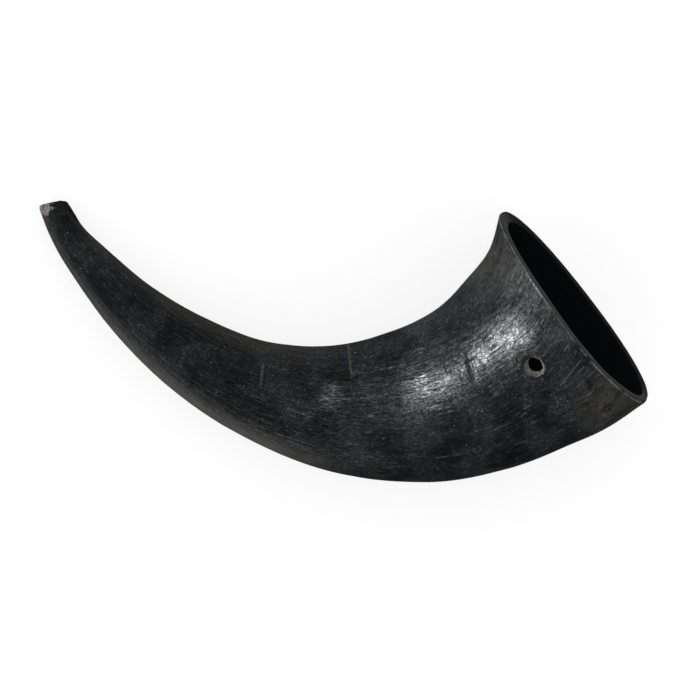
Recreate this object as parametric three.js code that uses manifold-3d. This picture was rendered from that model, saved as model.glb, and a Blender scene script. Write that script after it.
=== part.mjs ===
// A hollow buffalo horn with its tip sawn off, lying on its side on a flat surface.
// Millimetres, +Z up. The origin is on the surface, under the middle of the horn, +X runs from the tip's
// side to the mouth's side, and +Y is the inside of the bend. The horn grew as one piece, so it is one
// mesh: a bent, tapering skin, less the cavity that opens at the mouth, less one drilled hanging hole.
import * as THREE from "three";
import { mergeVertices } from "three/addons/utils/BufferGeometryUtils.js";
import Module from "manifold-3d";

// Sections of the horn from the sawn tip to the mouth. x and y are a section's middle in plan, across is
// the plan direction of its long axis in degrees, from the inside of the bend to the outside, width and
// depth are its full sizes along and square to that axis, lean is how far its plane tips back from
// upright, in degrees, and lift is the gap left between its underside and the surface.
const SECTIONS = [
  { x: -86.2, y: 41.2, across: -169.0, width: 9.6, depth: 9.0, lean: 3, lift: 0 },
  { x: -83.4, y: 33.0, across: -157.5, width: 9.9, depth: 9.4, lean: 4, lift: 0.2 },
  { x: -77.6, y: 25.4, across: -146.0, width: 12.1, depth: 10.8, lean: 5, lift: 0.5 },
  { x: -63.0, y: 10.0, across: -132.5, width: 17.4, depth: 15.6, lean: 6.5, lift: 1.1 },
  { x: -46.2, y: -3.1, across: -122.5, width: 23.0, depth: 20.2, lean: 8, lift: 1.2 },
  { x: -27.4, y: -13.3, across: -111.5, width: 28.6, depth: 24.4, lean: 9, lift: 0.7 },
  { x: -4.0, y: -19.2, across: -95.5, width: 36.9, depth: 30.6, lean: 9.5, lift: 0 },
  { x: 20.4, y: -18.4, across: -79.5, width: 46.0, depth: 37.0, lean: 10, lift: 0 },
  { x: 38.0, y: -13.3, across: -66.5, width: 51.8, depth: 41.0, lean: 10.5, lift: 0.4 },
  { x: 51.0, y: -5.1, across: -60.0, width: 57.8, depth: 45.4, lean: 11.5, lift: 0.9 },
  { x: 59.3, y: 1.3, across: -56.0, width: 62.4, depth: 49.2, lean: 12.5, lift: 0.7 },
  { x: 66.4, y: 10.6, across: -52.2, width: 69.8, depth: 55.0, lean: 13.5, lift: 0 },
];

const SECTION_POWER = 2.2; // 2 is an ellipse, and more is a fuller oval
const SIDES = 44; // facets round the horn
const SKIN_STEPS = 46; // rings along the skin
const CAVITY_STEPS = 28; // rings along the cavity
const CAVITY_CROWDING = 1.5; // more than 1 crowds the cavity's rings towards its rounded end

const TIP_EDGE = { along: 1.9, across: 1.5, steps: 3 }; // rounding where the sawn tip meets the skin
const RIM_EDGE = 0.8; // chamfer where the cut of the mouth meets the skin
const RIM_WALL = 3.7; // wall thickness at the mouth
const DEEP_WALL = 6.0; // wall thickness where the cavity ends
const WALL_SHIFT = 0.8; // the wall is this much thicker inside the bend, and thinner outside it
const CAVITY_START = 68; // from the sawn tip to the cavity's rounded end, along the horn
const CAVITY_ROUNDING = 16; // length over which that end closes
const PAST_MOUTH = 3; // how far the cavity's cutter runs out of the mouth

// The hanging hole is drilled through the upper wall near the mouth. toward is the plan direction that
// the drill's shank leans to, steep is its angle above level, and both are in degrees. The countersink
// is the worn edge of the hole in the skin.
const HOLE = { x: 54.0, y: -7.1, diameter: 5.4, toward: 217, steep: 66, sides: 28 };
const COUNTERSINK = { diameter: 7.0, deep: 0.9 };
const DRILL_REACH = 12; // how far the drill runs below and above the skin

const HORN = { color: 0x1d2022, roughness: 0.4, metalness: 0 };
const WELD = 1e-4; // vertices nearer to each other than this are one

const UP = new THREE.Vector3(0, 0, 1);
const radians = THREE.MathUtils.degToRad;

// Distance along the horn's middle line to each section, seen in plan.
function sectionPlaces(sections) {
  const places = [0];
  for (let i = 1; i < sections.length; i++) {
    const step = Math.hypot(sections[i].x - sections[i - 1].x, sections[i].y - sections[i - 1].y);
    places.push(places[i - 1] + step);
  }
  return places;
}

const PLACES = sectionPlaces(SECTIONS);
const LENGTH = PLACES[PLACES.length - 1];
const CHANNELS = Object.keys(SECTIONS[0]);

// One smooth run through the sections for every size at once. Its slope at a section is that of the
// line between the section's neighbours.
function sizesAt(along) {
  const last = SECTIONS.length - 1;
  let i = 0;
  while (i < last - 1 && along > PLACES[i + 1]) i++;
  const span = PLACES[i + 1] - PLACES[i];
  const t = (along - PLACES[i]) / span;
  const slope = (key, k) => {
    const a = Math.max(k - 1, 0);
    const b = Math.min(k + 1, last);
    return (SECTIONS[b][key] - SECTIONS[a][key]) / (PLACES[b] - PLACES[a]);
  };
  const sizes = {};
  for (const key of CHANNELS) {
    const start = SECTIONS[i][key];
    const end = SECTIONS[i + 1][key];
    sizes[key] =
      start * (1 + 2 * t) * (1 - t) ** 2 +
      slope(key, i) * span * t * (1 - t) ** 2 +
      end * t * t * (3 - 2 * t) -
      slope(key, i + 1) * span * t * t * (1 - t);
  }
  return sizes;
}

// Where a section lies: its middle, its long and short axes, and its sizes. Past the mouth it goes
// straight on from the last section.
function frameAt(along) {
  const sizes = sizesAt(Math.min(along, LENGTH));
  const lean = radians(sizes.lean);
  const long = new THREE.Vector3(1, 0, 0).applyAxisAngle(UP, radians(sizes.across));
  const ahead = new THREE.Vector3().crossVectors(UP, long);
  const short = UP.clone().applyAxisAngle(long, lean);
  const height = sizes.lift + (sizes.depth / 2) * Math.cos(lean);
  const middle = new THREE.Vector3(sizes.x, sizes.y, height);
  middle.addScaledVector(ahead.applyAxisAngle(long, lean), Math.max(along - LENGTH, 0));
  return { middle, long, short, width: sizes.width, depth: sizes.depth };
}

// Bends a straight lathe, turned about Y, along the horn. A vertex's height is its distance along the
// horn, and its radius is a share of the section's size, less the inset that insetAt gives in
// millimetres. shift moves the whole lathe towards the outside of the bend.
function bend(geometry, insetAt, shift) {
  const position = geometry.getAttribute("position");
  for (let i = 0; i < position.count; i++) {
    const share = Math.hypot(position.getX(i), position.getZ(i));
    const along = position.getY(i);
    const angle = Math.atan2(position.getZ(i), position.getX(i));
    const c = Math.cos(angle);
    const s = Math.sin(angle);
    const fullness = (Math.abs(c) ** SECTION_POWER + Math.abs(s) ** SECTION_POWER) ** (-1 / SECTION_POWER);
    const frame = frameAt(along);
    const inset = insetAt(along);
    const point = frame.middle
      .addScaledVector(frame.long, share * fullness * c * (frame.width / 2 - inset) + shift)
      .addScaledVector(frame.short, share * fullness * s * (frame.depth / 2 - inset));
    position.setXYZ(i, point.x, point.y, point.z);
  }
  return geometry;
}

// A closed mesh as a solid that can be cut.
function solidFrom(wasm, geometry) {
  geometry.deleteAttribute("normal");
  geometry.deleteAttribute("uv");
  const merged = mergeVertices(geometry, WELD);
  return new wasm.Manifold(
    new wasm.Mesh({
      numProp: 3,
      vertProperties: merged.attributes.position.array,
      triVerts: new Uint32Array(merged.index.array),
    }),
  );
}

// A solid as a mesh's geometry.
function geometryFrom(solid) {
  const cut = solid.getMesh();
  const flat = new THREE.BufferGeometry()
    .setAttribute("position", new THREE.BufferAttribute(cut.vertProperties, 3))
    .setIndex(new THREE.BufferAttribute(cut.triVerts, 1))
    .toNonIndexed();
  flat.computeVertexNormals();
  return flat;
}

// The whole outside of the horn, with no hollow, from the sawn tip to the flat cut of the mouth.
function skin() {
  const tipHalf = SECTIONS[0].width / 2;
  const mouthHalf = SECTIONS[SECTIONS.length - 1].width / 2;
  const profile = [new THREE.Vector2(0, 0)];
  for (let i = 0; i < TIP_EDGE.steps; i++) {
    const turn = (i / TIP_EDGE.steps) * (Math.PI / 2);
    const share = 1 - (TIP_EDGE.across * (1 - Math.sin(turn))) / tipHalf;
    profile.push(new THREE.Vector2(share, TIP_EDGE.along * (1 - Math.cos(turn))));
  }
  for (let i = 0; i <= SKIN_STEPS; i++) {
    const along = THREE.MathUtils.lerp(TIP_EDGE.along, LENGTH - RIM_EDGE, i / SKIN_STEPS);
    profile.push(new THREE.Vector2(1, along));
  }
  profile.push(new THREE.Vector2(1 - RIM_EDGE / mouthHalf, LENGTH));
  profile.push(new THREE.Vector2(0, LENGTH));
  return bend(new THREE.LatheGeometry(profile, SIDES), () => 0, 0);
}

// The hollow, with a rounded end deep in the horn, run out past the mouth so that it cuts clean.
function cavity() {
  const reach = LENGTH - CAVITY_START;
  const profile = [new THREE.Vector2(0, CAVITY_START)];
  for (let i = 1; i <= CAVITY_STEPS; i++) {
    const from = reach * (i / CAVITY_STEPS) ** CAVITY_CROWDING;
    const open = Math.min(from / CAVITY_ROUNDING, 1);
    profile.push(new THREE.Vector2(Math.sqrt(1 - (1 - open) ** 2), CAVITY_START + from));
  }
  profile.push(new THREE.Vector2(1, LENGTH + PAST_MOUTH));
  profile.push(new THREE.Vector2(0, LENGTH + PAST_MOUTH));
  const wallAt = (along) => {
    const share = Math.min((along - CAVITY_START) / reach, 1);
    return THREE.MathUtils.lerp(DEEP_WALL, RIM_WALL, share);
  };
  return bend(new THREE.LatheGeometry(profile, SIDES), wallAt, WALL_SHIFT);
}

// The drill for the hanging hole, with its countersink, set in the skin at a height above the surface.
function drill(skinHeight) {
  const radius = HOLE.diameter / 2;
  const wide = COUNTERSINK.diameter / 2;
  const profile = [
    new THREE.Vector2(0, -DRILL_REACH),
    new THREE.Vector2(radius, -DRILL_REACH),
    new THREE.Vector2(radius, -COUNTERSINK.deep),
    new THREE.Vector2(wide, 0),
    new THREE.Vector2(wide, DRILL_REACH),
    new THREE.Vector2(0, DRILL_REACH),
  ];
  const toward = radians(HOLE.toward);
  const tilt = radians(90 - HOLE.steep);
  const axis = UP.clone().applyAxisAngle(new THREE.Vector3(-Math.sin(toward), Math.cos(toward), 0), tilt);
  const geometry = new THREE.LatheGeometry(profile, HOLE.sides);
  geometry.applyQuaternion(new THREE.Quaternion().setFromUnitVectors(new THREE.Vector3(0, 1, 0), axis));
  geometry.translate(HOLE.x, HOLE.y, skinHeight);
  return geometry;
}

// Height of the top of a closed shape over a point in plan.
function topOver(geometry, x, y) {
  geometry.computeBoundingBox();
  const above = new THREE.Vector3(x, y, geometry.boundingBox.max.z + 1);
  const ray = new THREE.Raycaster(above, UP.clone().negate());
  return ray.intersectObject(new THREE.Mesh(geometry))[0].point.z;
}

// The horn, put down with its lowest point on the surface and the origin under its middle.
async function horn() {
  const wasm = await Module();
  wasm.setup();
  const outside = skin();
  const hole = drill(topOver(outside, HOLE.x, HOLE.y));
  const whole = solidFrom(wasm, outside);
  const geometry = geometryFrom(whole.subtract(solidFrom(wasm, cavity())).subtract(solidFrom(wasm, hole)));
  geometry.computeBoundingBox();
  const { min, max } = geometry.boundingBox;
  geometry.translate(-(min.x + max.x) / 2, -(min.y + max.y) / 2, -min.z);
  const mesh = new THREE.Mesh(geometry, new THREE.MeshStandardMaterial(HORN));
  mesh.name = "horn";
  return mesh;
}

const group = new THREE.Group();
group.add(await horn());

export default group;
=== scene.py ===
"""A black buffalo horn with a sawn, chipped tip, a hollow mouth and a drilled hole, on a pale floor."""

import logging
import math
from collections.abc import Callable
from dataclasses import dataclass, field
from enum import Enum
from functools import partial, reduce
from itertools import product
from typing import Any

import bmesh
import bpy
from bmesh.types import BMEdge, BMesh, BMVert
from mathutils import Matrix, Vector, noise


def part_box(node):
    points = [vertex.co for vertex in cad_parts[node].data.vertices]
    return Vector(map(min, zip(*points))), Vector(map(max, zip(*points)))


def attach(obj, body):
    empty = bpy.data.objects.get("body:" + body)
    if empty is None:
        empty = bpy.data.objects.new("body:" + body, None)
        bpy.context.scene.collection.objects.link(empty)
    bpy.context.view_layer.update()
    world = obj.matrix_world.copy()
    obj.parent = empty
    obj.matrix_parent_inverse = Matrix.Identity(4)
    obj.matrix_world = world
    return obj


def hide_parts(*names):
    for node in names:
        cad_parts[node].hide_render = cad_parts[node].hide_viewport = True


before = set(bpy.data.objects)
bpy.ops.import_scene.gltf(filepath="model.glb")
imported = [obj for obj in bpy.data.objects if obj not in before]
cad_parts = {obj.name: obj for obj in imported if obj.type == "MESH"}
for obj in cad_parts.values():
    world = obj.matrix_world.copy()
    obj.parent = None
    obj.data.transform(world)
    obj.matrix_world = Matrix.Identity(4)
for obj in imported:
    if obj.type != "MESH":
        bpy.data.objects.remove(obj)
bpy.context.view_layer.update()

MM = 0.001
TURN = 2 * math.pi
UP = Vector((0, 0, 1))
BAKE_MAP = "OFBake"
RULED = "ruled"
LOG = logging.getLogger("horn")

Pair = tuple[float, float]
Triple = tuple[float, float, float]
Colour = tuple[float, float, float, float]
Stroke = tuple[Pair, Pair]
Surface = Callable[[float, float], Vector]


def smooth(value: float, low: float, high: float) -> float:
    """Return 0 below low, 1 above high, and an even S-curve between them."""
    share = min(max((value - low) / (high - low), 0.0), 1.0)
    return share * share * (3 - 2 * share)


def mix(start: float, end: float, share: float) -> float:
    """Return the number that lies share of the way from start to end."""
    return start + (end - start) * share


def cloud(at: Vector) -> float:
    """Return cloudy noise, from 0 to 1."""
    return 0.5 + 0.5 * noise.noise(at)


def drawn(ruled: Vector, across: float, along: float) -> Vector:
    """Return a place for noise that is drawn out along the straightened horn."""
    return Vector((ruled.x / across, ruled.y / across, ruled.z / along))


class Zone(Enum):
    """The regions that a line from the tip over the skin and into the hollow runs through."""

    TIP = "tip"
    SKIN = "skin"
    EDGE = "edge"
    CUT = "cut"
    LIP = "lip"
    HOLLOW = "hollow"


class Mask(Enum):
    """The vertex attributes that tell the finishes where they lie."""

    CUT = "cut"
    LAYERS = "layers"
    EDGE = "edge"
    HOLLOW = "hollow"
    BROKEN = "broken"
    BORE = "bore"
    WEAR = "wear"


@dataclass(frozen=True)
class Section:
    """One cross-section of the horn, in millimetres and degrees.

    x and y are its middle in plan, across is the direction of its long axis, width and depth are its
    full sizes, lean is how far it tips back from upright, and lift is the gap under it.
    """

    x: float
    y: float
    across: float
    width: float
    depth: float
    lean: float
    lift: float


SECTIONS = (
    Section(-86.2, 41.2, -169.0, 9.6, 9.0, 3.0, 0.0),
    Section(-82.9, 33.2, -156.5, 9.9, 9.3, 4.0, 0.2),
    Section(-77.3, 25.6, -146.0, 12.3, 10.8, 5.0, 0.5),
    Section(-63.0, 9.95, -132.5, 17.4, 15.6, 6.5, 1.1),
    Section(-46.3, -3.05, -122.5, 23.1, 20.2, 8.0, 1.2),
    Section(-27.4, -13.3, -111.5, 28.6, 24.4, 9.0, 0.7),
    Section(-4.0, -19.2, -95.5, 36.9, 30.6, 9.5, 0.0),
    Section(20.4, -18.4, -79.5, 46.0, 37.0, 10.0, 0.0),
    Section(37.9, -13.1, -66.5, 51.4, 41.0, 10.5, 0.4),
    Section(51.0, -5.0, -60.0, 57.6, 45.4, 11.5, 0.9),
    Section(59.3, 1.3, -56.0, 62.4, 49.2, 12.5, 0.7),
    Section(66.4, 10.6, -52.2, 69.8, 55.0, 13.5, 0.0),
)


@dataclass(frozen=True)
class Station:
    """Where a section lies, in millimetres: its middle, its two axes and its half sizes."""

    middle: Vector
    long: Vector
    short: Vector
    half_width: float
    half_depth: float


@dataclass
class HornLine:
    """The horn's bent middle line, with one smooth run through the sections for every size."""

    sections: tuple[Section, ...] = SECTIONS
    places: list[float] = field(init=False)
    known: dict[float, Station] = field(init=False, default_factory=dict)

    def __post_init__(self) -> None:
        """Measure the distance along the line to each section, in plan."""
        self.places = [0.0]
        for before, after in zip(self.sections, self.sections[1:]):
            step = math.hypot(after.x - before.x, after.y - before.y)
            self.places.append(self.places[-1] + step)

    @property
    def length(self) -> float:
        """Return the distance from the sawn tip to the mouth."""
        return self.places[-1]

    def size(self, name: str, along: float) -> float:
        """Interpolate one size between the sections.

        Args:
            name: The field of Section to read.
            along: Distance from the sawn tip, in millimetres.

        Returns:
            The size at that place.
        """
        last = len(self.sections) - 1
        values = [getattr(section, name) for section in self.sections]
        at = next((i for i in range(last - 1) if along <= self.places[i + 1]), last - 1)
        span = self.places[at + 1] - self.places[at]
        t = (along - self.places[at]) / span

        def slope(k: int) -> float:
            """Return the slope of the line between a section's neighbours."""
            a, b = max(k - 1, 0), min(k + 1, last)
            return (values[b] - values[a]) / (self.places[b] - self.places[a])

        return (
            values[at] * (1 + 2 * t) * (1 - t) ** 2
            + slope(at) * span * t * (1 - t) ** 2
            + values[at + 1] * t * t * (3 - 2 * t)
            - slope(at + 1) * span * t * t * (1 - t)
        )

    def station(self, along: float) -> Station:
        """Return the section's frame at a distance from the sawn tip, in millimetres.

        Args:
            along: The distance.

        Returns:
            The section's middle, its two directions and its half sizes.
        """
        if along not in self.known:
            lean = math.radians(self.size("lean", along))
            across = math.radians(self.size("across", along))
            long = Vector((math.cos(across), math.sin(across), 0))
            depth = self.size("depth", along)
            height = self.size("lift", along) + depth / 2 * math.cos(lean)
            middle = Vector((self.size("x", along), self.size("y", along), height))
            short = Matrix.Rotation(lean, 3, long) @ UP
            self.known[along] = Station(middle, long, short, self.size("width", along) / 2, depth / 2)
        return self.known[along]


@dataclass(frozen=True)
class Ring:
    """One ring of the horn's wall.

    along is its distance from the sawn tip, share its part of the section's size, turn how far it is
    round an edge or across the cut, from 0 to 1, and run the length of wall from the tip's middle.
    """

    zone: Zone
    along: float
    share: float = 1.0
    turn: float = 0.0
    run: float = 0.0

    def marks(self) -> dict[Mask, float]:
        """Return how strongly the ring carries each mask of its zone.

        Returns:
            Each mask's strength, from 0 to 1.
        """
        return {
            Mask.CUT: float(self.zone in (Zone.CUT, Zone.LIP)),
            Mask.LAYERS: self.turn if self.zone is Zone.CUT else float(self.zone is Zone.LIP),
            Mask.EDGE: float(self.zone is Zone.EDGE and 0.1 < self.turn < 0.7),
            Mask.HOLLOW: float(self.zone is Zone.HOLLOW),
            Mask.BROKEN: float(self.zone is Zone.TIP and self.along < 0.4),
        }


def slopes(surface: Surface, along: float, angle: float) -> tuple[Vector, Vector, Vector]:
    """Return a wall's point, and how fast it moves along the horn and round it.

    Args:
        surface: The wall's point for a distance along the horn and an angle round it.
        along: The distance.
        angle: The angle.

    Returns:
        The point, its move per millimetre along the horn, and its move per radian round it.
    """
    nudge = 1e-3
    here = surface(along, angle)
    ahead = (surface(along + nudge, angle) - here) / nudge
    round_it = (surface(along, angle + nudge) - here) / nudge
    return here, ahead, round_it


def pierce(surface: Surface, start: Vector, way: Vector, guess: Pair) -> Pair:
    """Find where a straight line meets a wall.

    Args:
        surface: The wall's point for a distance along the horn and an angle round it.
        start: A point of the line.
        way: The line's direction.
        guess: A distance and an angle to start from.

    Returns:
        The distance and the angle of the meeting point.
    """
    found = Vector((*guess, 0))
    for _ in range(12):
        here, ahead, round_it = slopes(surface, found.x, found.y)
        miss = here - start - way * found.z
        found -= Matrix((ahead, round_it, -way)).transposed().inverted() @ miss
    return found.x, found.y


@dataclass
class Gap:
    """A round gap in a wall's grid, where the drill comes through.

    A square block of the grid is left out, and the grid round it is eased from squares to circles.
    """

    surface: Surface
    row: int
    column: int
    along: float
    angle: float
    way: Vector
    radius: float
    pitch: float
    sense: int
    half: int = 6
    reach: int = 18

    def offset(self, row: int, column: int, columns: int) -> tuple[int, int]:
        """Return how many rows and columns a grid point lies from the gap's middle."""
        aside = (column - self.column + columns // 2) % columns - columns // 2
        return row - self.row, aside

    def holds(self, row: float, column: float, columns: int) -> bool:
        """Return whether a face's middle lies in the block that is left out."""
        aside = (column - self.column + columns / 2) % columns - columns / 2
        return max(abs(row - self.row), abs(aside)) < self.half

    def ease(self, u: int, v: int, along: float, angle: float) -> Pair:
        """Move a grid point near the gap onto circles round it.

        Args:
            u: Rows from the gap's middle.
            v: Columns from the gap's middle.
            along: The point's distance along the horn.
            angle: The point's angle round the horn.

        Returns:
            The distance and the angle to use instead.
        """
        square = max(abs(u), abs(v))
        if square >= self.reach or square == 0:
            return along, angle
        u *= self.sense
        if abs(u) >= abs(v):
            turn = math.pi / 4 * v / u + (math.pi if u < 0 else 0)
        else:
            turn = math.pi / 2 - math.pi / 4 * u / v + (math.pi if v < 0 else 0)
        _, ahead, round_it = slopes(self.surface, self.along, self.angle)
        first = (ahead - self.way * ahead.dot(self.way)).normalized()
        second = first.cross(self.way)
        if second.dot(round_it) <= 0:
            second.negate()
        radius = self.radius + (square - self.half) * self.pitch
        side = (first * math.cos(turn) + second * math.sin(turn)) * radius
        moved = Matrix((ahead, round_it, self.way)).transposed().inverted() @ side
        share = 1 - smooth(square, self.half, self.reach)
        near = self.angle + (angle - self.angle + math.pi) % TURN - math.pi
        return mix(along, self.along + moved.x, share), mix(near, self.angle + moved.y, share)


@dataclass(frozen=True)
class Drilling:
    """The hanging hole: its place in plan, its shank's lean in degrees, and its worn mouth."""

    x: float = 53.4
    y: float = -7.1
    toward: float = 217.0
    steep: float = 66.0
    bore: float = 2.45
    dished: float = 3.4
    ragged: float = 0.12
    ragged_from: float = 1.2
    deepest: float = 8.0
    cuts: int = 5
    lip: tuple[Pair, ...] = ((3.1, 0.02), (2.9, 0.08), (2.76, 0.2), (2.66, 0.42), (2.58, 0.8))

    @property
    def way(self) -> Vector:
        """Return the direction in which the drill's shank leans.

        Returns:
            The direction, of length 1.
        """
        toward, steep = math.radians(self.toward), math.radians(self.steep)
        flat = math.cos(steep)
        return Vector((flat * math.cos(toward), flat * math.sin(toward), math.sin(steep)))


@dataclass
class HornShell:
    """The horn's closed wall, made as a straight grid and bent along the horn, in millimetres.

    The names that start with ruled place the wall on the straightened horn, which its patterns follow.
    """

    line: HornLine = field(default_factory=HornLine)
    drilling: Drilling = Drilling()
    columns: int = 192
    power: float = 2.2
    tip_rings: int = 13
    tip_edge_rings: int = 8
    skin_rings: int = 270
    edge_rings: int = 4
    cut_rings: int = 9
    lip_rings: int = 4
    hollow_rings: int = 104
    tip_along: float = 1.0
    tip_across: float = 0.9
    rim_edge: float = 0.8
    rim_lip: float = 0.5
    rim_wall: float = 3.4
    deep_wall: float = 6.0
    wall_shift: float = 0.8
    hollow_start: float = 68.0
    hollow_rounding: float = 16.0
    ruled_radius: float = 20.0
    dip: float = 0.95
    dip_angle: float = 68.0
    dip_spread: float = 30.0
    dip_reach: float = 14.0
    crowding: float = 1.6
    edge_bulge: float = 0.12
    oval_girth: float = 1.04
    skin_pitch: float = 0.72
    hollow_pitch: float = 0.85
    ruled_hollow: float = 400.0
    first_guess: Pair = (158.0, 1.0)
    rings: list[Ring] = field(init=False)
    gaps: list[Gap] = field(init=False)

    def __post_init__(self) -> None:
        """Lay out the rings, and find where the drill goes through each wall."""
        self.rings = self.lay_rings()
        hole = self.drilling
        middle = Vector((hole.x, hole.y, 0))
        skin = pierce(self.outer, middle, UP, self.first_guess)
        self.entry = self.outer(*skin)
        hollow = pierce(self.inner, self.entry, hole.way, skin)
        self.gaps = [
            self.gap(Zone.SKIN, self.outer, skin, hole.dished),
            self.gap(Zone.HOLLOW, self.inner, hollow, hole.bore),
        ]

    def outer(self, along: float, angle: float, share: float = 1.0, wall: float = 0.0) -> Vector:
        """Return a point of the skin, or inside it by a share of its size and by a wall's thickness.

        Args:
            along: The distance from the sawn tip.
            angle: The angle round the horn, in radians.
            share: The share of the section's size.
            wall: The wall's thickness.

        Returns:
            The point, in millimetres.
        """
        at = self.line.station(along)
        c, s = math.cos(angle), math.sin(angle)
        full = share * (abs(c) ** self.power + abs(s) ** self.power) ** (-1 / self.power)
        across, up = full * c * (at.half_width - wall), full * s * (at.half_depth - wall)
        return at.middle + at.long * across + at.short * up

    def inner(self, along: float, angle: float) -> Vector:
        """Return a point of the hollow's wall, which closes in a rounded end.

        Args:
            along: The distance from the sawn tip.
            angle: The angle round the horn, in radians.

        Returns:
            The point, in millimetres.
        """
        reach = self.line.length - self.hollow_start
        wall = mix(self.deep_wall, self.rim_wall, (along - self.hollow_start) / reach)
        shift = self.line.station(along).long * self.wall_shift
        return self.outer(along, angle, self.opened(along), wall) + shift

    def opened(self, along: float) -> float:
        """Return how far the hollow has opened at a place, from 0 at its end to 1."""
        opening = min(max((along - self.hollow_start) / self.hollow_rounding, 0.0), 1.0)
        return math.sqrt(max(1 - (1 - opening) ** 2, 0.0))

    def lay_rings(self) -> list[Ring]:
        """Return every ring of the wall, from the tip's middle to the hollow's end.

        Returns:
            The rings, each with the length of wall that lies before it.
        """
        mouth = self.line.length
        tip_half = self.line.station(0.0).half_width
        tip_share = 1 - self.tip_across / tip_half
        rings = [Ring(Zone.TIP, 0.0, tip_share * i / self.tip_rings) for i in range(self.tip_rings)]
        for i in range(self.tip_edge_rings):
            turn = i / self.tip_edge_rings * math.pi / 2
            share = 1 - (1 - tip_share) * (1 - math.sin(turn))
            rings.append(Ring(Zone.TIP, self.tip_along * (1 - math.cos(turn)), share))
        for i in range(self.skin_rings):
            along = mix(self.tip_along, mouth - self.rim_edge, i / self.skin_rings)
            rings.append(Ring(Zone.SKIN, along))
        rim = {Zone.EDGE: self.edge_rings, Zone.CUT: self.cut_rings, Zone.LIP: self.lip_rings}
        for zone, count in rim.items():
            rings += [Ring(zone, mouth, turn=i / count) for i in range(count)]
        for i in range(self.hollow_rings + 1):
            even = i / self.hollow_rings
            crowded = 1 - (1 - even) ** self.crowding
            along = mix(mouth - self.rim_lip, self.hollow_start, mix(even, crowded, 0.5))
            rings.append(Ring(Zone.HOLLOW, along))
        run = 0.0
        measured = []
        before = self.point(rings[0], 1.0)
        for ring in rings:
            here = self.point(ring, 1.0)
            run += (here - before).length
            before = here
            measured.append(Ring(ring.zone, ring.along, ring.share, ring.turn, run))
        return measured

    def gap(self, zone: Zone, surface: Surface, place: Pair, radius: float) -> Gap:
        """Return the gap that the drill leaves in one wall, on the nearest point of its grid.

        Args:
            zone: The wall's zone.
            surface: The wall's point for a distance along the horn and an angle round it.
            place: The distance and the angle at which the drill comes through.
            radius: The gap's radius.

        Returns:
            The gap.
        """
        near = [i for i, ring in enumerate(self.rings) if ring.zone is zone]
        row = min(near, key=lambda i: abs(self.rings[i].along - place[0]))
        column = round(place[1] / TURN * self.columns) % self.columns
        pitch, sense = (self.skin_pitch, 1) if zone is Zone.SKIN else (self.hollow_pitch, -1)
        return Gap(surface, row, column, *place, self.drilling.way, radius, pitch, sense)

    def point(self, ring: Ring, angle: float) -> Vector:
        """Return the wall's point on a ring, at an angle round it, with the mouth's uneven wear.

        Args:
            ring: The ring.
            angle: The angle round the horn, in radians.

        Returns:
            The point, in millimetres.
        """
        mouth = self.line.length
        at = self.line.station(mouth)
        off = (math.degrees(angle) - self.dip_angle + 180) % 360 - 180
        worn = self.dip * math.exp(-((off / self.dip_spread) ** 2))
        share = smooth(ring.along, mouth - self.dip_reach, mouth)
        return self.even_point(ring, angle) - at.short.cross(at.long) * (worn * share)

    def even_point(self, ring: Ring, angle: float) -> Vector:
        """Return the wall's point on a ring, at an angle round the horn, were the mouth cut flat.

        Args:
            ring: The ring.
            angle: The angle round the horn, in radians.

        Returns:
            The point, in millimetres.
        """
        mouth = self.line.length
        if ring.zone in (Zone.TIP, Zone.SKIN):
            return self.outer(ring.along, angle, ring.share)
        if ring.zone is Zone.HOLLOW:
            return self.inner(ring.along, angle)
        edge_share = 1 - self.rim_edge / self.line.station(mouth).half_width
        corner = self.outer(mouth, angle, edge_share)
        inside = self.inner(mouth, angle)
        if ring.zone is Zone.EDGE:
            bulge = math.sin(ring.turn * math.pi) * self.edge_bulge
            from_skin = self.outer(mouth - self.rim_edge, angle)
            away = (from_skin - inside).normalized()
            return from_skin.lerp(corner, ring.turn) + away * bulge
        inward = (inside - corner).normalized()
        if ring.zone is Zone.CUT:
            return corner.lerp(inside - inward * self.rim_lip, ring.turn)
        turn = ring.turn * math.pi / 2
        wall = self.inner(mouth - self.rim_lip * (1 - math.cos(turn)), angle)
        return wall - inward * (self.rim_lip * (1 - math.sin(turn)))

    def girth(self, ring: Ring) -> float:
        """Return the length round a ring, near enough for laying out the wall flat.

        Args:
            ring: The ring.

        Returns:
            The length, in millimetres.
        """
        at = self.line.station(ring.along)
        wall = self.rim_wall if ring.zone in (Zone.CUT, Zone.LIP, Zone.HOLLOW) else 0.0
        share = self.opened(ring.along) if ring.zone is Zone.HOLLOW else ring.share
        return TURN * share * ((at.half_width + at.half_depth) / 2 - wall) * self.oval_girth

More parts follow.
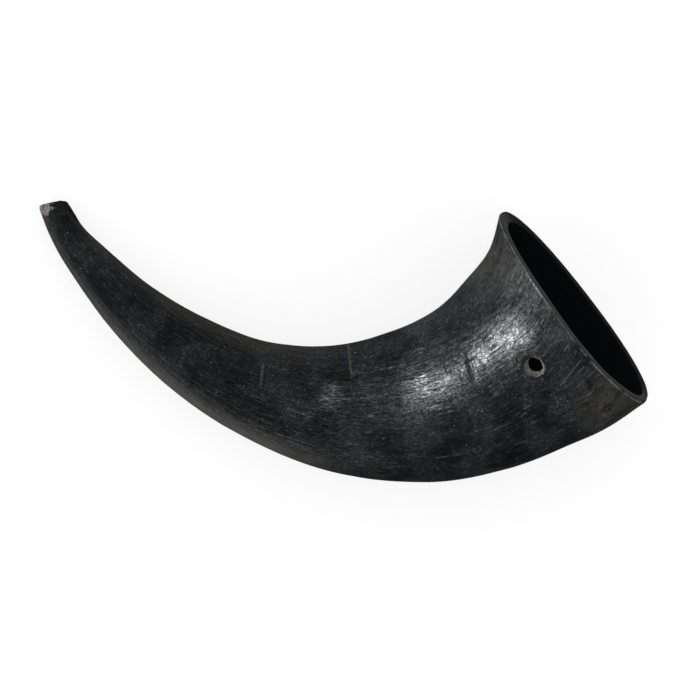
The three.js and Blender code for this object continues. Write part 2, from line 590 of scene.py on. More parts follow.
    def mesh(self) -> BMesh:
        """Make the wall: a grid, bent, closed, and pierced by the drill.

        Returns:
            The wall in millimetres, in the frame of the sections.
        """
        bm = bmesh.new()
        rows = len(self.rings) - 1
        bmesh.ops.create_grid(bm, x_segments=self.columns, y_segments=rows, size=1.0)
        masks = {mask: bm.verts.layers.float.new(mask.value) for mask in Mask}
        ruled = bm.verts.layers.float_vector.new(RULED)
        flat = bm.loops.layers.uv.new(BAKE_MAP)
        places = {
            vert: (round((vert.co.y + 1) / 2 * rows), round((vert.co.x + 1) / 2 * self.columns))
            for vert in bm.verts
        }
        blocks = []
        plan = FlatPlan(self)
        for face in bm.faces:
            spots = [places[vert] for vert in face.verts]
            band = min(row for row, _ in spots)
            middle = (sum(row for row, _ in spots) / 4, sum(column for _, column in spots) / 4)
            if any(gap.holds(*middle, self.columns) for gap in self.gaps):
                blocks.append(face)
                continue
            for loop in face.loops:
                row, column = places[loop.vert]
                loop[flat].uv = plan.spot(band, row, column / self.columns)
        for vert, (row, column) in places.items():
            ring = self.rings[row]
            angle = column / self.columns * TURN
            along = ring.along
            for gap in self.gaps:
                u, v = gap.offset(row, column, self.columns)
                if max(abs(u), abs(v)) < gap.reach:
                    along, angle = gap.ease(u, v, along, angle)
            vert.co = self.point(Ring(ring.zone, along, ring.share, ring.turn), angle)
            around = Vector((math.cos(angle), math.sin(angle), 0)) * self.ruled_radius
            vert[ruled] = around + UP * (along + self.ruled_hollow * (ring.zone is Zone.HOLLOW))
            for mask, strength in ring.marks().items():
                vert[masks[mask]] = strength
        bmesh.ops.delete(bm, geom=blocks, context="FACES")
        bmesh.ops.remove_doubles(bm, verts=bm.verts[:], dist=1e-4)
        self.drill(bm, masks, flat, plan)
        bmesh.ops.recalc_face_normals(bm, faces=bm.faces[:])
        return bm

    def drill(self, bm: BMesh, masks: dict[Mask, Any], flat: Any, plan: "FlatPlan") -> None:
        """Sink the worn lip of the hanging hole into the skin, and bridge it to the hollow's wall.

        Args:
            bm: The bent wall, with a gap left in its skin and in its hollow.
            masks: Its vertex layers for the masks.
            flat: Its layer for the places on the flat sheet.
            plan: Where each part of the wall lies on that sheet.
        """
        hole = self.drilling
        way = hole.way
        first = way.orthogonal().normalized()
        second = way.cross(first)

        def around(point: Vector) -> tuple[float, Vector, float]:
            """Return a point's height along the drill, and its offset and angle beside the drill.

            Args:
                point: The point, in millimetres.

            Returns:
                The height, the offset and the angle.
            """
            height = (point - self.entry).dot(way)
            side = point - self.entry - way * height
            return height, side, math.atan2(side.dot(second), side.dot(first))

        open_edges = [edge for edge in bm.edges if edge.is_boundary]
        ring, hollow_ring = (
            [edge for edge in open_edges if (edge.verts[0][masks[Mask.HOLLOW]] > 0.5) == inside]
            for inside in (False, True)
        )
        LOG.info("hanging hole: %d edges in the skin, %d in the hollow", len(ring), len(hollow_ring))
        for radius, depth in hole.lip:
            grown = bmesh.ops.extrude_edge_only(bm, edges=ring)["geom"]
            for vert in (item for item in grown if isinstance(item, BMVert)):
                height, side, turn = around(vert.co)
                rough = noise.noise(Vector((math.cos(turn), math.sin(turn), depth)) * 1.6)
                wide = radius * (1 + hole.ragged * smooth(depth, 0.0, 0.5) * rough)
                sunk = way * (height * wide / side.length - depth)
                vert.co = self.entry + side.normalized() * wide + sunk
                vert[masks[Mask.WEAR]] = smooth(depth, 0.05, 0.2) * (1 - smooth(depth, 0.4, 0.9))
            ring = [item for item in grown if isinstance(item, BMEdge) and item.is_boundary]
        rungs = bmesh.ops.bridge_loops(bm, edges=ring + hollow_ring)["edges"]
        bmesh.ops.subdivide_edges(bm, edges=rungs, cuts=hole.cuts, use_grid_fill=True)
        fresh = []
        for vert in bm.verts:
            height, side, _ = around(vert.co)
            beyond = side.length > hole.dished - 0.1 or abs(height) > hole.deepest
            if beyond or vert[masks[Mask.HOLLOW]] > 0.99:
                continue
            fresh.append(vert)
            vert[masks[Mask.BORE]] = smooth(-height, 0.1, 0.5)
            vert[masks[Mask.HOLLOW]] = 0.0
            if height < -hole.ragged_from:
                vert.co += side.normalized() * (noise.noise(vert.co * 1.1) * hole.ragged * hole.bore)
        for face in {face for vert in fresh for face in vert.link_faces}:
            near = around(face.calc_center_median())[2]
            for loop in face.loops:
                height, side, turn = around(loop.vert.co)
                turn = near + (turn - near + math.pi) % TURN - math.pi
                loop[flat].uv = plan.bore_spot(turn, side.length - height)


@dataclass
class FlatPlan:
    """Where each part of the wall lies on the flat sheet that finishes are baked on, in millimetres."""

    shell: HornShell
    sheet: float = 216.0
    margin: float = 2.0
    right: float = 206.0
    cut_left: float = 208.5
    tip_middle: Pair = (188.0, 148.0)
    tip_zoom: float = 1.6
    bore_corner: Pair = (158.0, 124.0)
    bore_spread: Pair = (2.5, 10.0)
    starts: dict[Zone, float] = field(init=False)

    def __post_init__(self) -> None:
        """Note where each region of the wall starts."""
        self.starts = {zone: next(r.run for r in self.shell.rings if r.zone is zone) for zone in Zone}

    def spot(self, band: int, row: int, share: float) -> Pair:
        """Return the place on the sheet of a ring's point, seen from one band of faces.

        Args:
            band: The lower ring of the faces' band.
            row: The ring that holds the point.
            share: How far round the ring the point is, from 0 to 1.

        Returns:
            The place on the sheet, from 0 to 1 each way.
        """
        ring = self.shell.rings[row]
        zone = self.shell.rings[band].zone
        if zone is Zone.TIP:
            angle = share * TURN
            away = ring.run * self.tip_zoom
            u = self.tip_middle[0] + away * math.cos(angle)
            v = self.tip_middle[1] + away * math.sin(angle)
        elif zone in (Zone.SKIN, Zone.EDGE):
            u = self.margin + share * self.shell.girth(ring)
            v = self.margin + ring.run - self.starts[Zone.SKIN]
        elif zone in (Zone.CUT, Zone.LIP):
            u = self.cut_left + ring.run - self.starts[Zone.CUT]
            v = self.margin + share * self.shell.girth(self.shell.rings[band])
        else:
            u = self.right - share * self.shell.girth(ring)
            v = self.margin + ring.run - self.starts[Zone.HOLLOW]
        return u / self.sheet, v / self.sheet

    def bore_spot(self, turn: float, run: float) -> Pair:
        """Return the place on the sheet of a point in the drilled hole.

        Args:
            turn: The point's angle round the drill, in radians.
            run: How far the point lies outward and down.

        Returns:
            The place on the sheet, from 0 to 1 each way.
        """
        u = self.bore_corner[0] + self.bore_spread[0] * (turn + math.pi)
        v = self.bore_corner[1] + self.bore_spread[1] - run
        return u / self.sheet, v / self.sheet


@dataclass(frozen=True)
class Groove:
    """A crease, crack or dent in the upper skin, along points in plan, in millimetres."""

    points: tuple[Pair, ...]
    width: float
    depth: float

    def drop(self, spot: Vector) -> float:
        """Return how deep the groove is at a place.

        Args:
            spot: The place, of which only the plan counts.

        Returns:
            The depth, 0 beside the groove.
        """
        flat = Vector((spot.x, spot.y))
        nearest = 1e9
        for start, end in zip(self.points, self.points[1:]):
            first, last = Vector(start), Vector(end)
            run = last - first
            share = min(max((flat - first).dot(run) / run.length_squared, 0.0), 1.0)
            nearest = min(nearest, (flat - first - run * share).length)
        return self.depth * (1 - smooth(nearest, 0.0, self.width))


@dataclass(frozen=True)
class Swelling:
    """A low round swelling of the upper skin, or a dip where its height is below 0, in millimetres."""

    x: float
    y: float
    spread: float
    height: float

    def rise(self, spot: Vector) -> float:
        """Return how far the swelling stands out at a place."""
        away = math.hypot(spot.x - self.x, spot.y - self.y)
        return self.height * math.exp(-((away / self.spread) ** 2))


@dataclass(frozen=True)
class Break:
    """A flat break at the tip: all that stands beyond its plane is gone."""

    spot: Triple
    way: Triple
    rough: float

    def cut(self, point: Vector) -> Vector | None:
        """Return where a point of the wall lies after the break, or None if it is untouched.

        Args:
            point: The point, in millimetres.

        Returns:
            The point on the break's rough face, or None.
        """
        way = Vector(self.way).normalized()
        beyond = (point - Vector(self.spot)).dot(way)
        if beyond <= 0:
            return None
        grain = abs(noise.noise(point * 0.9)) + 0.6 * abs(noise.noise(point * 2.3))
        return point - way * (beyond + self.rough * grain * smooth(beyond, 0.0, 0.3))


@dataclass
class Relief:
    """The wear and growth of the wall, cut into it along its normals, in millimetres."""

    swell: float = 0.32
    ripple: float = 0.12
    scrape: float = 0.10
    pit: float = 0.05
    saw: float = 0.05
    rib: float = 0.10
    proud: float = 0.28
    rim_wear: float = 0.13
    rim_start: float = 170.0
    upward: float = 0.15
    tip_end: float = 8.0
    grooves: tuple[Groove, ...] = (
        Groove(((36.2, -2.4), (36.7, -6.2), (37.9, -10.8)), 0.9, 0.28),
        Groove(((37.2, -3.4), (41.2, -6.4)), 0.7, 0.08),
        Groove(((1.9, -1.4), (2.6, -6.0), (3.0, -11.0)), 0.8, 0.14),
        Groove(((51.2, -9.2), (51.9, -10.6), (53.2, -11.6)), 0.7, 0.22),
        Groove(((24.0, -6.8), (30.0, -12.0)), 1.0, 0.07),
        Groove(((-24.0, -9.0), (-21.5, -15.0)), 0.8, 0.08),
    )
    swellings: tuple[Swelling, ...] = (
        Swelling(31.6, -10.6, 8.0, 0.85),
        Swelling(20.5, -2.5, 7.0, 0.62),
        Swelling(35.0, -19.5, 7.5, 0.70),
        Swelling(52.6, -4.6, 6.5, 0.46),
        Swelling(8.0, -16.0, 9.0, -0.30),
        Swelling(66.0, 6.0, 7.0, -0.30),
        Swelling(-3.8, -15.2, 4.0, 0.12),
    )
    breaks: tuple[Break, ...] = (
        Break((-87.8, 37.6, 7.2), (-0.66, 0.14, 0.73), 0.6),
        Break((-85.2, 39.0, 8.5), (0.05, 0.42, 0.90), 0.4),
        Break((-82.0, 40.9, 5.0), (0.78, 0.60, 0.18), 0.5),
        Break((-86.5, 41.4, 1.8), (-0.30, 0.50, -0.81), 0.5),
    )

    def skin(self, spot: Vector, ruled: Vector) -> float:
        """Return how deep the skin's wear is at a place.

        Args:
            spot: The place, in the row's frame.
            ruled: The same place on the straightened horn.

        Returns:
            The depth, below 0 where the skin stands proud.
        """
        tip_side = 1 - smooth(ruled.z, 60.0, 130.0)
        return (
            self.swell * cloud(spot / 27.0)
            + self.ripple * cloud(drawn(ruled, 30.0, 6.5)) * (1 - 0.5 * tip_side)
            + self.scrape * cloud(drawn(ruled, 2.4, 38.0)) * (0.7 + 0.9 * tip_side)
            + self.scrape * cloud(drawn(ruled, 5.5, 70.0) + UP * 9)
            + self.pit * cloud(spot / 3.4)
            - self.proud
        )

    def carve(self, bm: BMesh) -> None:
        """Cut the wear into the wall.

        Args:
            bm: The wall, in the row's frame, in millimetres.
        """
        layer = {mask: bm.verts.layers.float[mask.value] for mask in Mask}
        ruled = bm.verts.layers.float_vector[RULED]
        bm.normal_update()
        normals = {vert: vert.normal.copy() for vert in bm.verts}
        for vert, normal in normals.items():
            spot = vert.co.copy()
            if vert[layer[Mask.CUT]] > 0.5:
                deep = self.saw * cloud(spot / 1.7)
            elif max(vert[layer[Mask.HOLLOW]], vert[layer[Mask.BORE]]) > 0.5:
                deep = self.rib * noise.noise(drawn(vert[ruled], 3.0, 30.0))
            else:
                deep = self.skin(spot, vert[ruled])
                if normal.z > self.upward:
                    deep += sum(groove.drop(spot) for groove in self.grooves)
                    swollen = sum(swelling.rise(spot) for swelling in self.swellings)
                    deep -= swollen * smooth(normal.z, self.upward, 0.6)
                deep += self.rim_wear * smooth(vert[ruled].z, self.rim_start, self.rim_start + 12)
            vert.co = spot - normal * deep
        tip = [v for v in bm.verts if v[ruled].z < self.tip_end and v[layer[Mask.HOLLOW]] < 0.5]
        for vert, broken in product(tip, self.breaks):
            moved = broken.cut(vert.co)
            if moved is not None:
                vert.co = moved
                vert[layer[Mask.BROKEN]] = 1.0


class Graph:
    """A material's nodes, wired as they are added."""

    def __init__(self, tree: bpy.types.NodeTree) -> None:
        """Start an empty tree."""
        self.tree = tree
        tree.nodes.clear()

    def add(self, kind: str, inputs: dict[str | int, Any], **settings: Any) -> bpy.types.Node:
        """Add one node.

        Args:
            kind: Blender's name for the node's type, less its ShaderNode.
            inputs: A value or another node's output for each input.
            settings: The node's own settings.

        Returns:
            The new node.
        """
        node = self.tree.nodes.new("ShaderNode" + kind)
        for name, value in settings.items():
            setattr(node, name, value)
        for key, value in inputs.items():
            if isinstance(value, bpy.types.NodeSocket):
                self.tree.links.new(value, node.inputs[key])
            else:
                node.inputs[key].default_value = value
        return node

    def calc(self, operation: str, *values: Any) -> Any:
        """Return the result of one sum on numbers or outputs."""
        return self.add("Math", dict(enumerate(values)), operation=operation).outputs[0]

    def times(self, *values: Any) -> Any:
        """Return the product of two or more numbers or outputs."""
        return reduce(partial(self.calc, "MULTIPLY"), values)

    def plus(self, *values: Any) -> Any:
        """Return the sum of two or more numbers or outputs."""
        return reduce(partial(self.calc, "ADD"), values)

    def vector(self, operation: str, *values: Any) -> Any:
        """Return the vector or the number that one sum on vectors gives."""
        node = self.add("VectorMath", dict(enumerate(values)), operation=operation)
        return node.outputs["Value" if operation in ("DISTANCE", "DOT_PRODUCT") else "Vector"]

    def axis(self, at: Any, name: str) -> Any:
        """Return one of a vector's numbers, by its axis."""
        return self.add("SeparateXYZ", {0: at}).outputs[name]

    def fade(self, value: Any, low: float, high: float, start: Any = 0.0, end: Any = 1.0) -> Any:
        """Return a smooth change from start to end as value runs from low to high."""
        inputs = {"Value": value, "From Min": low, "From Max": high, "To Min": start, "To Max": end}
        return self.add("MapRange", inputs, interpolation_type="SMOOTHSTEP").outputs[0]

    def line(self, away: Any, width: float) -> Any:
        """Return 1 where a distance is 0, fading to 0 where it is a line's width."""
        return self.fade(away, 0.0, width, 1.0, 0.0)

    def stretch(self, at: Any, scale: Triple, turn: Triple = (0, 0, 0)) -> Any:
        """Return coordinates that are turned, in degrees, and then scaled.

        Args:
            at: The coordinates.
            scale: The factor on each axis.
            turn: The angle about each axis.

        Returns:
            The new coordinates.
        """
        angles = [math.radians(angle) for angle in turn]
        turned = self.add("Mapping", {"Vector": at, "Rotation": angles}).outputs[0]
        return self.add("Mapping", {"Vector": turned, "Scale": scale}).outputs[0]

    def grain(self, at: Any, scale: float, detail: float, rough: float = 0.5, warp: float = 0.0) -> Any:
        """Return cloudy noise of about one blotch per 1 / scale."""
        inputs = {"Vector": at, "Scale": scale, "Detail": detail, "Roughness": rough, "Distortion": warp}
        return self.add("TexNoise", inputs).outputs[0]

    def fibres(self, at: Any, scale: Triple, detail: float, rough: float, warp: float = 0.0) -> Any:
        """Return noise that is drawn out, of about one blotch per 1 / scale each way."""
        return self.grain(self.stretch(at, scale), 1.0, detail, rough, warp)

    def seams(self, at: Any, scale: Triple, turn: Triple = (0, 0, 0)) -> Any:
        """Return the distance to the borders of random cells, turned and of about 1 / scale each way."""
        inputs = {"Vector": self.stretch(at, scale, turn), "Scale": 1.0}
        return self.add("TexVoronoi", inputs, feature="DISTANCE_TO_EDGE").outputs[0]

    def spot(self, at: Any, x: float, y: float, radius: float) -> Any:
        """Return a soft round spot, seen in plan, in millimetres."""
        away = self.vector("DISTANCE", self.vector("MULTIPLY", at, (1, 1, 0)), (x, y, 0))
        return self.fade(away, 0.3 * radius, radius, 1.0, 0.0)

    def stroke(self, at: Any, start: Pair, end: Pair, width: float) -> Any:
        """Return a thin straight stroke, seen in plan.

        Args:
            at: The coordinates, in millimetres.
            start: One end of the stroke.
            end: The other end.
            width: How far the stroke reaches to each side.

        Returns:
            1 on the stroke, fading to 0 beside it.
        """
        run = Vector((end[0] - start[0], end[1] - start[1], 0))
        plan = self.vector("MULTIPLY", at, (1, 1, 0))
        offset = self.vector("SUBTRACT", plan, (*start, 0))
        share = self.vector("DOT_PRODUCT", offset, run / run.length_squared)
        held = self.add("Clamp", {0: share}).outputs[0]
        return self.line(self.vector("DISTANCE", offset, self.vector("MULTIPLY", run, held)), width)

    def warp(self, at: Any, scale: float, reach: float) -> Any:
        """Return coordinates that are pushed about by cloudy noise.

        Args:
            at: The coordinates.
            scale: The noise's scale.
            reach: How far it pushes.

        Returns:
            The new coordinates.
        """
        cloud = self.add("TexNoise", {"Vector": at, "Scale": scale, "Detail": 1.0}).outputs["Color"]
        push = self.vector("ADD", cloud, (-0.5, -0.5, -0.5))
        return self.vector("MULTIPLY_ADD", push, (reach, reach, reach), at)

    def tint(self, share: Any, below: Any, above: Any) -> Any:
        """Return one colour laid over another by a share."""
        return self.add("Mix", {0: share, 6: below, 7: above}, data_type="RGBA").outputs[2]

    def part(self, share: Any, below: Any, above: Any) -> Any:
        """Return the number that lies share of the way between two others."""
        return self.add("Mix", {0: share, 2: below, 3: above}).outputs[0]

    def mask(self, name: Mask) -> Any:
        """Return one of the wall's masks."""
        return self.add("Attribute", {}, attribute_name=name.value).outputs["Fac"]


@dataclass(frozen=True)
class Space:
    """The coordinates of patterns, in millimetres: the object's and the straightened horn's."""

    solid: Any
    ruled: Any


@dataclass(frozen=True)
class Coat:
    """What a finish gives the shader: colour, roughness, gloss level, and height in millimetres."""

    colour: Any
    roughness: Any
    shine: Any
    height: Any

    def under(self, graph: Graph, share: Any, above: "Coat") -> "Coat":
        """Return this coat with another over it where share is 1.

        Args:
            graph: The material's nodes.
            share: How much of the other shows.
            above: The other coat.

        Returns:
            The coat that shows.
        """
        return Coat(
            graph.tint(share, self.colour, above.colour),
            graph.part(share, self.roughness, above.roughness),
            graph.part(share, self.shine, above.shine),
            graph.part(share, self.height, above.height),
        )


@dataclass(frozen=True)
class PolishedSkin:
    """Black horn, scraped along its fibres, worn to a soft broken gloss."""

    black: Colour = (0.0015, 0.0030, 0.0046, 1.0)
    dull: Colour = (0.0094, 0.0125, 0.0146, 1.0)
    olive_flank_sheen: Colour = (0.025, 0.0245, 0.0190, 1.0)
    pale_dust_and_sheen: Colour = (0.075, 0.073, 0.060, 1.0)
    brown: Colour = (0.030, 0.0288, 0.0265, 1.0)
    rust: Colour = (0.080, 0.050, 0.034, 1.0)
    dried: Colour = (0.090, 0.074, 0.056, 1.0)
    scar: Colour = (0.070, 0.075, 0.075, 1.0)
    fibre: Colour = (0.075, 0.080, 0.078, 1.0)
    speck: Colour = (0.26, 0.27, 0.26, 1.0)
    stains: tuple[Triple, ...] = ((44.5, 23.6, 17.0), (79.0, -19.0, 17.0))
    cracks: tuple[Stroke, ...] = (((1.9, -1.3), (3.0, -10.7)), ((-22.8, -7.0), (-23.4, -12.8)))
    scars: tuple[Stroke, ...] = (
        ((44.0, -25.6), (54.0, -18.5)),
        ((59.7, -15.6), (64.9, -17.6)),
        ((62.6, -12.8), (69.8, -3.3)),
        ((65.8, -14.8), (74.1, -6.2)),
        ((59.2, -9.0), (64.3, -1.6)),
        ((56.0, -13.4), (61.5, -6.0)),
    )
    polish_start: float = 21.0
    polish_end: float = 30.0
    polish_waver: float = 14.0
    polish_rough: Pair = (0.25, 0.33)
    scraped_rough: float = 0.48
    crack_width: float = 0.70
    scar_width: float = 0.20
    nick_turns: Pair = (38.0, -52.0)
    rubbed_wear_and_highlight: Triple = (-3.2, -15.8, 5.0)
    rubbed_shine: float = 4.4

    def lay(self, graph: Graph, space: Space) -> Coat:
        """Return the skin's coat.

        Args:
            graph: The material's nodes.
            space: The coordinates of its patterns.

        Returns:
            What the coat gives the shader.
        """
        solid, ruled = space.solid, space.ruled
        fade, part, times, plus = graph.fade, graph.part, graph.times, graph.plus
        cloud = graph.grain(solid, 0.09, 3.0, 0.55)
        patch = graph.grain(solid, 0.32, 4.0, 0.6)
        fine = graph.fibres(ruled, (1.9, 1.9, 0.14), 3.0, 0.62, 0.3)
        broad = graph.fibres(ruled, (0.8, 0.8, 0.05), 3.0, 0.6, 0.4)
        threads = graph.fibres(ruled, (4.6, 4.6, 0.5), 1.0, 0.5)
        bent = graph.warp(ruled, 0.7, 1.4)
        worms = graph.fibres(bent, (2.5, 2.5, 1.1), 2.0, 0.6)
        crazed = fade(graph.seams(bent, (1.15, 1.15, 0.30)), 0.02, 0.16)
        scratch = times(graph.line(graph.seams(ruled, (0.9, 0.9, 0.06)), 0.11), fade(patch, 0.46, 0.60))
        crossing = graph.line(graph.seams(ruled, (0.10, 0.10, 0.75), (24, 0, 0)), 0.09)
        scored = graph.calc("MAXIMUM", scratch, times(crossing, fade(cloud, 0.5, 0.62)))

        along, side = graph.axis(ruled, "Z"), graph.axis(ruled, "X")
        tip_side = fade(plus(along, times(cloud, 60.0)), 110.0, 150.0, 1.0, 0.0)
        # Painted reflection: paler olive and grey bands along both flanks of the tip half stand in for
        # the bright floor mirrored at a grazing angle.
        dust_and_flank_sheen = times(fade(graph.calc("ABSOLUTE", side), 9.0, 18.5), tip_side)
        stains = graph.calc("MAXIMUM", *(graph.spot(solid, *stain) for stain in self.stains))
        streaked = fade(broad, 0.62, 0.80, 0.0, 0.25)
        stained = graph.calc("MAXIMUM", times(stains, fade(patch, 0.24, 0.62)), streaked)
        lines = times(fade(fine, 0.56, 0.68), fade(broad, 0.40, 0.60), fade(threads, 0.50, 0.62))
        layers = [
            # The first two layers are painted reflection on the flanks; the others are the horn's own
            # stains, fibres and marks.
            (times(dust_and_flank_sheen, fade(fine, 0.3, 0.6, 0.4, 1.0)), self.olive_flank_sheen),
            (times(dust_and_flank_sheen, fade(side, 12.0, 19.0), fade(along, 12.0, 60.0, 0.0, 0.75)), self.pale_dust_and_sheen),
            (times(stained, 0.8), self.brown),
            (times(stains, fade(fine, 0.50, 0.66), fade(threads, 0.44, 0.60)), self.rust),
            (times(lines, 0.8), self.fibre),
        ]
        upper = fade(graph.axis(solid, "Z"), 12.0, 20.0)
        crumbs = times(upper, fade(graph.grain(solid, 2.2, 2.0, 0.6), 0.43, 0.57, 0.1, 0.7))
        for crack in self.cracks:
            layers.append((times(graph.stroke(solid, *crack, self.crack_width), crumbs), self.dried))
        broken = times(upper, fade(fine, 0.42, 0.58))
        for scar in self.scars:
            layers.append((times(graph.stroke(solid, *scar, self.scar_width), broken), self.scar))
        for turn in self.nick_turns:
            nicks = fade(graph.seams(solid, (0.13, 0.75, 0.75), (0, 0, turn)), 0.0, 0.08, 0.4, 0.0)
            layers.append((times(nicks, fade(cloud, 0.45, 0.62), fade(worms, 0.44, 0.60)), self.scar))
        layers.append((fade(graph.grain(solid, 2.1, 1.0, 0.4), 0.77, 0.80), self.speck))
        clouded = plus(times(cloud, 0.8), times(patch, 0.2))
        colour = graph.tint(fade(clouded, 0.38, 0.66), self.black, self.dull)
        for share, above in layers:
            colour = graph.tint(share, colour, above)

        mouth_side = plus(graph.axis(solid, "X"), times(patch, self.polish_waver))
        polished = fade(mouth_side, self.polish_start, self.polish_end)
        rough = part(polished, self.scraped_rough, part(fade(patch, 0.35, 0.65), *self.polish_rough))
        streaks = fade(fine, 0.36, 0.62, 0.58, 1.30)
        mottled = times(streaks, fade(broad, 0.36, 0.64, 0.70, 1.20))
        shine = times(
            fade(worms, 0.34, 0.66, 0.28, 0.66),
            part(polished, mottled, streaks),
            part(crazed, 0.50, 1.08),
            part(scored, 1.0, 0.4),
            part(polished, 0.52, 1.0),
            part(graph.spot(solid, *self.rubbed_wear_and_highlight), 1.0, self.rubbed_shine),
            fade(threads, 0.36, 0.64, part(polished, 0.35, 0.7), 1.35),
        )
        height = plus(
            times(fine, 0.035),
            times(worms, 0.020),
            times(crazed, 0.012),
            times(broad, 0.08),
            times(patch, 0.07),
            times(scored, -0.025),
        )
        return Coat(colour, rough, shine, height)


@dataclass(frozen=True)
class SawnCut:
    """The flat cut of the mouth, grey and dull, with the horn's layers showing as fine lines."""

    grey: Colour = (0.046, 0.047, 0.045, 1.0)
    dark_layers_and_shade: Colour = (0.012, 0.013, 0.014, 1.0)
    pale: Colour = (0.13, 0.125, 0.115, 1.0)
    brown: Colour = (0.012, 0.009, 0.007, 1.0)

    def lay(self, graph: Graph, space: Space) -> Coat:
        """Return the cut's coat.

        Args:
            graph: The material's nodes.
            space: The coordinates of its patterns.

        Returns:
            What the coat gives the shader.
        """
        stain = graph.grain(space.solid, 0.35, 3.0, 0.6)
        wobble = graph.times(graph.grain(space.solid, 0.25, 2.0), 0.35)
        across = graph.plus(graph.mask(Mask.LAYERS), wobble)
        waves = graph.calc("SINE", graph.times(across, 24.0))
        colour = graph.tint(graph.fade(waves, -0.2, 0.9, 0.0, 0.6), self.grey, self.dark_layers_and_shade)
        colour = graph.tint(graph.fade(stain, 0.55, 0.75, 0.0, 0.5), colour, self.pale)
        # Towards the bottom the cut turns dark brown and less glossy.
        up = graph.fade(graph.axis(space.solid, "Z"), 14.0, 34.0)
        colour = graph.tint(graph.part(up, 0.95, 0.0), colour, self.brown)
        return Coat(colour, 0.62, graph.part(up, 0.1, 0.3), graph.times(waves, 0.02))


@dataclass(frozen=True)
class BareBreak:
    """Freshly broken horn at the tip, pale and pinkish on one side, with painted shade over the other
    side.
    """

    pale: Colour = (0.34, 0.30, 0.26, 1.0)
    grey: Colour = (0.10, 0.095, 0.09, 1.0)
    dark_layers_and_shade: Colour = (0.007, 0.007, 0.0075, 1.0)

    def lay(self, graph: Graph, space: Space) -> Coat:
        """Return the break's coat.

        Args:
            graph: The material's nodes.
            space: The coordinates of its patterns.

        Returns:
            What the coat gives the shader.
        """
        chips = graph.grain(space.solid, 1.3, 4.0, 0.7)
        waver = graph.times(graph.grain(space.solid, 0.7, 3.0, 0.6), 6.0)
        edge = graph.plus(graph.axis(space.solid, "X"), waver)
        colour = graph.tint(graph.fade(chips, 0.44, 0.60), self.pale, self.grey)
        # Painted shade: the break turns almost black towards its higher-x side.
        colour = graph.tint(graph.fade(edge, -83.4, -81.8), colour, self.dark_layers_and_shade)
        return Coat(colour, 0.7, 0.25, graph.times(chips, 0.5))


@dataclass(frozen=True)
class DrilledBore:
    """The wall of the drilled hole: greenish grey horn, pale with dust."""

    pale_dust_and_sheen: Colour = (0.25, 0.24, 0.21, 1.0)
    dirt: Colour = (0.08, 0.075, 0.062, 1.0)

    def lay(self, graph: Graph, space: Space) -> Coat:
        """Return the bore's coat.

        Args:
            graph: The material's nodes.
            space: The coordinates of its patterns.

        Returns:
            What the coat gives the shader.
        """
        grime = graph.grain(space.solid, 1.1, 3.0, 0.6)
        colour = graph.tint(graph.fade(grime, 0.42, 0.66), self.pale_dust_and_sheen, self.dirt)
        return Coat(colour, 0.75, 0.3, graph.times(grime, 0.12))


@dataclass(frozen=True)
class HollowWall:
    """The inside of the horn: its own black, matt, made darker than the skin's as painted shade."""

    black: Colour = (0.0003, 0.0016, 0.0026, 1.0)
    dust_and_flank_sheen: Colour = (0.0008, 0.0022, 0.0034, 1.0)

    def lay(self, graph: Graph, space: Space) -> Coat:
        """Return the hollow's coat.

        Args:
            graph: The material's nodes.
            space: The coordinates of its patterns.

        Returns:
            What the coat gives the shader.
        """
        ribs = graph.fibres(space.ruled, (1.0, 1.0, 0.06), 3.0, 0.6)
        colour = graph.tint(graph.fade(ribs, 0.45, 0.7), self.black, self.dust_and_flank_sheen)
        return Coat(colour, 0.9, 0.1, graph.times(ribs, 0.1))


@dataclass(frozen=True)
class HornFinish:
    """The whole horn's material, each region's coat laid over the skin's by its mask."""

    name: str = "black_horn"
    edge_highlight_and_wear: Colour = (0.105, 0.104, 0.095, 1.0)

    def material(self) -> bpy.types.Material:
        """Return the finished material.

        Returns:
            The material, with its nodes wired.
        """
        made = bpy.data.materials.new(self.name)
        made.use_nodes = True
        graph = Graph(made.node_tree)
        objects = graph.add("TexCoord", {}).outputs["Object"]
        solid = graph.add("Mapping", {"Vector": objects, "Scale": (1000, 1000, 1000)}).outputs[0]
        ruled = graph.add("Attribute", {}, attribute_name=RULED).outputs["Vector"]
        space = Space(solid, ruled)
        coat = PolishedSkin().lay(graph, space)
        over = {
            Mask.HOLLOW: HollowWall(),
            Mask.CUT: SawnCut(),
            Mask.BORE: DrilledBore(),
            Mask.BROKEN: BareBreak(),
        }
        for mask, finish in over.items():
            coat = coat.under(graph, graph.mask(mask), finish.lay(graph, space))
        # Painted highlight: a broken pale line along the rim's outer edge. The pale ring round the
        # hanging hole's lip is wear.
        ragged = graph.fade(graph.grain(solid, 0.3, 4.0, 0.65), 0.30, 0.56)
        edge = graph.times(graph.mask(Mask.EDGE), ragged)
        rubbed_wear_and_highlight = graph.calc("MAXIMUM", edge, graph.times(graph.mask(Mask.WEAR), 2.0))
        colour = graph.tint(rubbed_wear_and_highlight, coat.colour, self.edge_highlight_and_wear)
        bump = graph.add("Bump", {"Strength": 1.0, "Distance": MM, "Height": coat.height}).outputs[0]
        shader = graph.add(
            "BsdfPrincipled",
            {
                "Base Color": colour,
                "Roughness": coat.roughness,
                "Normal": bump,
                "IOR": 1.54,
                "Specular IOR Level": coat.shine,
            },
        )
        graph.add("OutputMaterial", {"Surface": shader.outputs[0]})
        return made


def show(name: str, data: Any) -> bpy.types.Object:
    """Put a mesh, a light or a camera in the scene, and return its object.

    Args:
        name: The object's name.
        data: What the object shows.

    Returns:
        The object.
    """
    shown = bpy.data.objects.new(name, data)
    bpy.context.scene.collection.objects.link(shown)
    return shown


def make(name: str, bm: BMesh, material: bpy.types.Material) -> bpy.types.Object:
    """Finish a mesh with its material, and return its object.

    Args:
        name: The name of the object and its mesh.
        bm: The mesh, which is freed.
        material: Its material.

    Returns:
        The object.
    """
    mesh = bpy.data.meshes.new(name)
    bm.to_mesh(mesh)
    bm.free()
    mesh.materials.append(material)
    return show(name, mesh)


